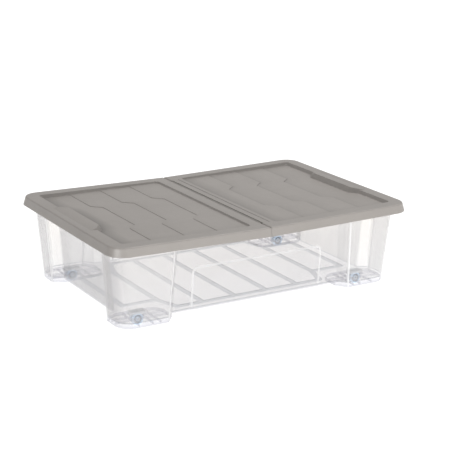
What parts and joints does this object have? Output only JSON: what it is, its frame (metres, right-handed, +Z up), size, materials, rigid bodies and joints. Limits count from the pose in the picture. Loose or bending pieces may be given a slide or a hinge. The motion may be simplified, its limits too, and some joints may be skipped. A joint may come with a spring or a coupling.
{
  "type": "under bed storage box",
  "caption": "Low clear storage box for under a bed, with corner columns, wheels in its feet and a recessed lid in two halves hinged across the middle.",
  "frame": {"origin": "on the ground under the middle of the box", "axes": "+X along the long side, +Y from front to back, +Z up"},
  "size_m": [0.6002, 0.395, 0.1619],
  "materials": {
    "clear_plastic": "clear moulded polypropylene, slightly milky",
    "lid_plastic": "warm grey moulded plastic with a fine texture",
    "strip_plastic": "warm grey moulded plastic",
    "wheel_plastic": "blue grey moulded plastic",
    "axle_steel": "plain drawn wire pin"
  },
  "bodies": {
    "tub": {"tub": "clear_plastic", "axle_front_left": "axle_steel", "axle_front_right": "axle_steel", "axle_back_left": "axle_steel", "axle_back_right": "axle_steel"},
    "hinge": {"hinge_strip": "strip_plastic"},
    "lid_left": {"lid_left": "lid_plastic"},
    "lid_right": {"lid_right": "lid_plastic"},
    "wheel_front_left": {"wheel_front_left": "wheel_plastic"},
    "wheel_front_right": {"wheel_front_right": "wheel_plastic"},
    "wheel_back_left": {"wheel_back_left": "wheel_plastic"},
    "wheel_back_right": {"wheel_back_right": "wheel_plastic"}
  },
  "joints": [
    {"name": "lid_lift", "type": "slide", "parent": "tub", "child": "hinge", "axis": [0, 0, 1], "range_m": [0, 0.2]},
    {"name": "lid_right_hinge", "type": "hinge", "parent": "hinge", "child": "lid_right", "pos_m": [0.0066, 0, 0.1512], "axis": [0, -1, 0], "range_deg": [0, 88]},
    {"name": "lid_left_hinge", "type": "hinge", "parent": "hinge", "child": "lid_left", "pos_m": [-0.0066, 0, 0.1512], "axis": [0, 1, 0], "range_deg": [0, 88]},
    {"name": "wheel_front_left_spin", "type": "hinge", "parent": "tub", "child": "wheel_front_left", "pos_m": [-0.226, -0.132, 0.0105], "axis": [0, 1, 0], "continuous": true},
    {"name": "wheel_front_right_spin", "type": "hinge", "parent": "tub", "child": "wheel_front_right", "pos_m": [0.226, -0.132, 0.0105], "axis": [0, 1, 0], "continuous": true},
    {"name": "wheel_back_left_spin", "type": "hinge", "parent": "tub", "child": "wheel_back_left", "pos_m": [-0.226, 0.132, 0.0105], "axis": [0, 1, 0], "continuous": true},
    {"name": "wheel_back_right_spin", "type": "hinge", "parent": "tub", "child": "wheel_back_right", "pos_m": [0.226, 0.132, 0.0105], "axis": [0, 1, 0], "continuous": true}
  ]
}
